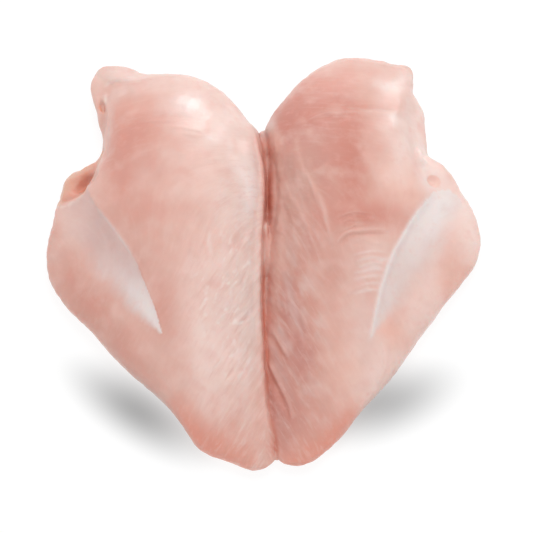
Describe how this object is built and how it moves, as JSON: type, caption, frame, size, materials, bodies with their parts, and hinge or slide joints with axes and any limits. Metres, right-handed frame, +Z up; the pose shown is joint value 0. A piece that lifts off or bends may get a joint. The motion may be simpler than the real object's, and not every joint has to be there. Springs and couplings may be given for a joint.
{
  "type": "raw chicken breast",
  "caption": "Raw whole chicken breast, boned and skinned: broad heart-shaped meat in joined lobes, lying smooth side up.",
  "frame": {"origin": "on the surface that the breast lies on, under the middle of its outline", "axes": "+Z up through the smooth outer side, +Y from the thin tips to the broad shoulder ends, +X to the right"},
  "size_m": [0.2034, 0.2028, 0.0353],
  "materials": {
    "raw_meat": "moist, semi-gloss pale pink meat"
  },
  "bodies": {
    "root": {"chicken_breast": "raw_meat"}
  },
  "joints": []
}
